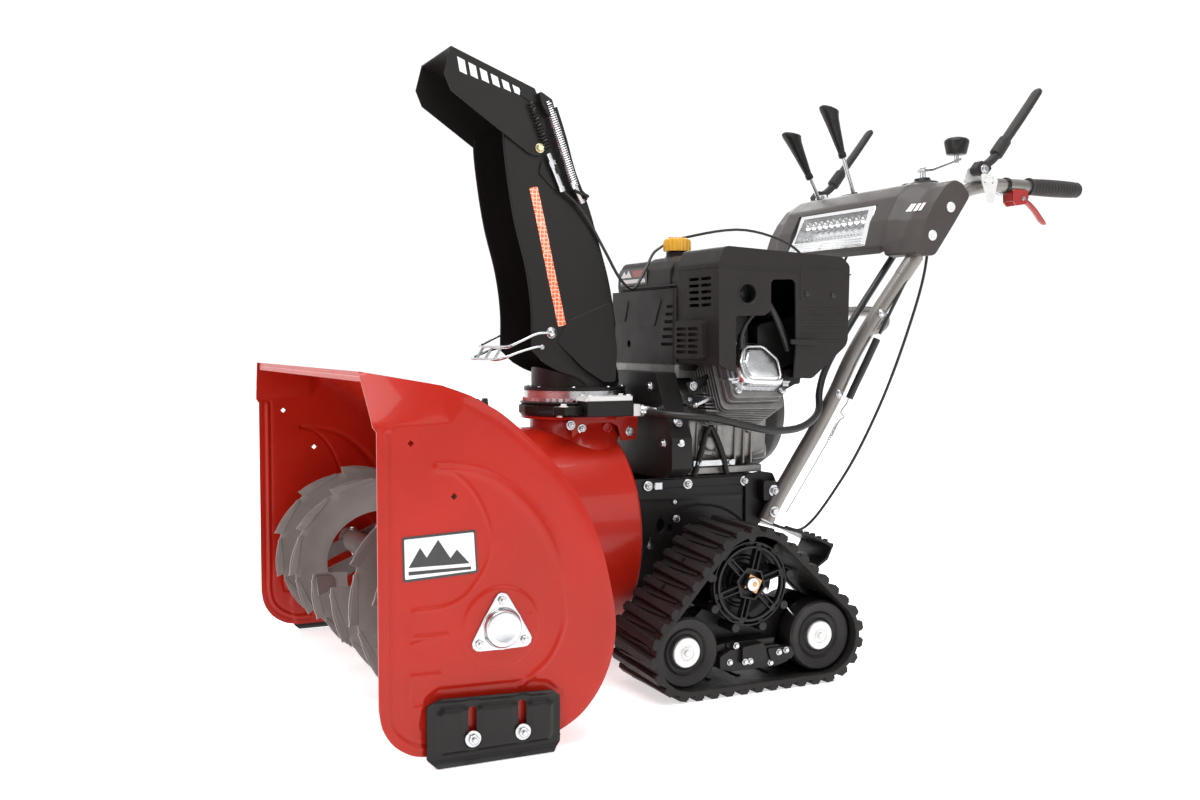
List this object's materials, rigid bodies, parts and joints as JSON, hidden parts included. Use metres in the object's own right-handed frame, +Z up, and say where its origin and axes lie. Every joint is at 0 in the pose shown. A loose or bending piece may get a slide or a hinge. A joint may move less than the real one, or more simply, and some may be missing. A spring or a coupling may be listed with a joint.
{
  "type": "snow blower",
  "caption": "Walk-behind two-stage snow blower with a ribbon auger, turning discharge chute, petrol engine, rubber tracks and a lever console.",
  "frame": {"origin": "under the middle of the outer box, on the ground", "axes": "+Z up, +Y towards the operator, the intake faces -Y, +X is the operator's left-hand side"},
  "size_m": [0.908, 1.424, 1.0489],
  "materials": {
    "red_paint": "glossy powder coat",
    "black_paint": "satin black powder coat",
    "satin_black_paint": "satin black paint",
    "grey_paint": "warm grey paint",
    "bright_zinc": "bright zinc plate",
    "cast_aluminium": "as cast",
    "bright_aluminium": "bright polished casting",
    "satin_metal": "satin warm silver paint",
    "engine_plastic": "fine grained black moulding",
    "dash_plastic": "fine grained dark grey moulding",
    "black_plastic": "moulded black",
    "yellow_plastic": "yellow moulding",
    "trigger_red": "red moulding",
    "clear_lens": "clear lens over silver reflector",
    "grip_rubber": "ribbed grip",
    "black_rubber": "smooth black sheath",
    "wheel_rubber": "moulded wheel",
    "track_rubber": "lugged track rubber"
  },
  "bodies": {
    "root": {"side_plate_left": "red_paint", "side_plate_right": "red_paint", "housing_wrapper": "red_paint", "impeller_drum": "red_paint", "scraper_bar": "red_paint", "auger_bearing_left": "bright_zinc", "auger_bearing_right": "bright_zinc", "auger_gearbox": "red_paint", "drive_belt": "black_rubber", "chute_gear_housing": "black_paint", "tractor_frame": "black_paint", "belt_cover": "black_paint", "engine_block": "cast_aluminium", "rocker_cover": "bright_aluminium", "engine_shroud": "engine_plastic", "front_cowl": "engine_plastic", "fuel_tank": "engine_plastic", "recoil_starter": "engine_plastic", "handlebar_left": "satin_metal", "handlebar_right": "satin_metal", "handle_brace": "satin_metal", "grip_left": "grip_rubber", "grip_right": "grip_rubber", "dash_console": "dash_plastic", "headlight": "clear_lens", "chute_drive_shaft": "black_rubber", "deflector_cable": "black_rubber", "drive_cable": "black_rubber"},
    "auger": {"auger_shaft": "bright_zinc", "auger_flight_left": "grey_paint", "auger_flight_right": "grey_paint"},
    "impeller": {"impeller": "red_paint"},
    "engine_pulley": {"engine_pulley": "bright_zinc"},
    "chute": {"chute_body": "satin_black_paint", "chute_ring_gear": "bright_zinc", "chute_guard": "bright_zinc"},
    "hood": {"chute_hood": "satin_black_paint", "hood_spring": "bright_zinc"},
    "track_unit": {"track_frame_left": "black_paint", "track_left": "track_rubber", "track_frame_right": "black_paint", "track_right": "track_rubber"},
    "sprocket_left": {"sprocket_left": "black_plastic"},
    "sprocket_right": {"sprocket_right": "black_plastic"},
    "front_idler_left": {"front_idler_left": "wheel_rubber"},
    "front_idler_right": {"front_idler_right": "wheel_rubber"},
    "rear_idler_left": {"rear_idler_left": "wheel_rubber"},
    "rear_idler_right": {"rear_idler_right": "wheel_rubber"},
    "foot_pedal": {"foot_pedal": "black_paint"},
    "fuel_cap": {"fuel_cap": "yellow_plastic"},
    "starter_handle": {"starter_handle": "black_rubber"},
    "drive_lever": {"drive_lever": "black_plastic"},
    "auger_lever": {"auger_lever": "black_plastic"},
    "trigger_left": {"trigger_left": "trigger_red"},
    "trigger_right": {"trigger_right": "trigger_red"},
    "speed_lever": {"speed_lever": "black_plastic"},
    "deflector_lever": {"deflector_lever": "black_plastic"},
    "crank_arm": {"crank_arm": "black_plastic"},
    "skid_left": {"skid_shoe_left": "black_paint"},
    "skid_right": {"skid_shoe_right": "black_paint"}
  },
  "joints": [
    {"name": "impeller_spin", "type": "hinge", "parent": "root", "child": "impeller", "pos_m": [0, -0.269, 0.24], "axis": [0, 1, 0], "continuous": true},
    {"name": "auger_spin", "type": "hinge", "parent": "root", "child": "auger", "pos_m": [0, -0.53, 0.1803], "axis": [1, 0, 0], "continuous": true},
    {"name": "engine_pulley_spin", "type": "hinge", "parent": "root", "child": "engine_pulley", "pos_m": [0, -0.109, 0.44], "axis": [0, 1, 0], "continuous": true},
    {"name": "chute_rotation", "type": "hinge", "parent": "root", "child": "chute", "pos_m": [0, -0.226, 0.486], "axis": [0, 0, 1], "range_deg": [-100, 100], "deforming": ["deflector_cable"]},
    {"name": "crank_turn", "type": "hinge", "parent": "root", "child": "crank_arm", "pos_m": [0.16, 0.415, 0.886], "axis": [0, 0, 1], "range_deg": [-1200, 1200]},
    {"name": "hood_tilt", "type": "hinge", "parent": "chute", "child": "hood", "pos_m": [0, -0.325, 0.893], "axis": [1, 0, 0], "range_deg": [0, 50], "deforming": ["hood_spring"]},
    {"name": "track_tilt", "type": "hinge", "parent": "root", "child": "track_unit", "pos_m": [0, -0.046, 0.1755], "axis": [1, 0, 0], "range_deg": [-5, 5]},
    {"name": "sprocket_left_spin", "type": "hinge", "parent": "track_unit", "child": "sprocket_left", "pos_m": [0.29, -0.046, 0.1755], "axis": [1, 0, 0], "continuous": true},
    {"name": "front_idler_left_spin", "type": "hinge", "parent": "track_unit", "child": "front_idler_left", "pos_m": [0.24, -0.166, 0.075], "axis": [1, 0, 0], "continuous": true},
    {"name": "rear_idler_left_spin", "type": "hinge", "parent": "track_unit", "child": "rear_idler_left", "pos_m": [0.24, 0.09, 0.077], "axis": [1, 0, 0], "continuous": true},
    {"name": "sprocket_right_spin", "type": "hinge", "parent": "track_unit", "child": "sprocket_right", "pos_m": [-0.29, -0.046, 0.1755], "axis": [1, 0, 0], "continuous": true},
    {"name": "front_idler_right_spin", "type": "hinge", "parent": "track_unit", "child": "front_idler_right", "pos_m": [-0.24, -0.166, 0.075], "axis": [1, 0, 0], "continuous": true},
    {"name": "rear_idler_right_spin", "type": "hinge", "parent": "track_unit", "child": "rear_idler_right", "pos_m": [-0.24, 0.09, 0.077], "axis": [1, 0, 0], "continuous": true},
    {"name": "foot_pedal_press", "type": "hinge", "parent": "root", "child": "foot_pedal", "pos_m": [0.068, 0.083, 0.25], "axis": [1, 0, 0], "range_deg": [-12, 0], "stiffness_Nm_per_rad": 15, "springref_deg": 8.59},
    {"name": "drive_lever_squeeze", "type": "hinge", "parent": "root", "child": "drive_lever", "pos_m": [0.25, 0.469, 0.882], "axis": [1, 0, 0], "range_deg": [-36, 0], "stiffness_Nm_per_rad": 2, "springref_deg": 17.19},
    {"name": "auger_lever_squeeze", "type": "hinge", "parent": "root", "child": "auger_lever", "pos_m": [-0.25, 0.469, 0.882], "axis": [1, 0, 0], "range_deg": [-36, 0], "stiffness_Nm_per_rad": 2, "springref_deg": 17.19},
    {"name": "trigger_left_pull", "type": "hinge", "parent": "root", "child": "trigger_left", "pos_m": [0.25, 0.563, 0.834], "axis": [1, 0, 0], "range_deg": [0, 15], "stiffness_Nm_per_rad": 0.6, "springref_deg": -17.19},
    {"name": "trigger_right_pull", "type": "hinge", "parent": "root", "child": "trigger_right", "pos_m": [-0.25, 0.563, 0.834], "axis": [1, 0, 0], "range_deg": [0, 15], "stiffness_Nm_per_rad": 0.6, "springref_deg": -17.19},
    {"name": "speed_lever_shift", "type": "hinge", "parent": "root", "child": "speed_lever", "pos_m": [-0.16, 0.43, 0.83], "axis": [1, 0, 0], "range_deg": [-45, 3]},
    {"name": "deflector_lever_shift", "type": "hinge", "parent": "root", "child": "deflector_lever", "pos_m": [-0.05, 0.43, 0.83], "axis": [1, 0, 0], "range_deg": [-37, 11]},
    {"name": "fuel_cap_turn", "type": "hinge", "parent": "root", "child": "fuel_cap", "pos_m": [0, -0.019, 0.745], "axis": [0, 0, 1], "range_deg": [0, 90]},
    {"name": "starter_pull", "type": "slide", "parent": "root", "child": "starter_handle", "axis": [0, 1, 0], "range_m": [0, 0.45], "stiffness_N_per_m": 25, "springref_m": -0.2},
    {"name": "skid_left_adjust", "type": "slide", "parent": "root", "child": "skid_left", "axis": [0, 0, 1], "range_m": [-0.035, 0]},
    {"name": "skid_right_adjust", "type": "slide", "parent": "root", "child": "skid_right", "axis": [0, 0, 1], "range_m": [-0.035, 0]}
  ],
  "couplings": [
    {"joint": "auger_spin", "follows": "impeller_spin", "ratio": 0.1},
    {"joint": "engine_pulley_spin", "follows": "impeller_spin", "ratio": 2.12},
    {"joint": "crank_turn", "follows": "chute_rotation", "ratio": -12},
    {"joint": "front_idler_left_spin", "follows": "sprocket_left_spin", "ratio": 1.386},
    {"joint": "rear_idler_left_spin", "follows": "sprocket_left_spin", "ratio": 1.339},
    {"joint": "front_idler_right_spin", "follows": "sprocket_right_spin", "ratio": 1.386},
    {"joint": "rear_idler_right_spin", "follows": "sprocket_right_spin", "ratio": 1.339}
  ]
}
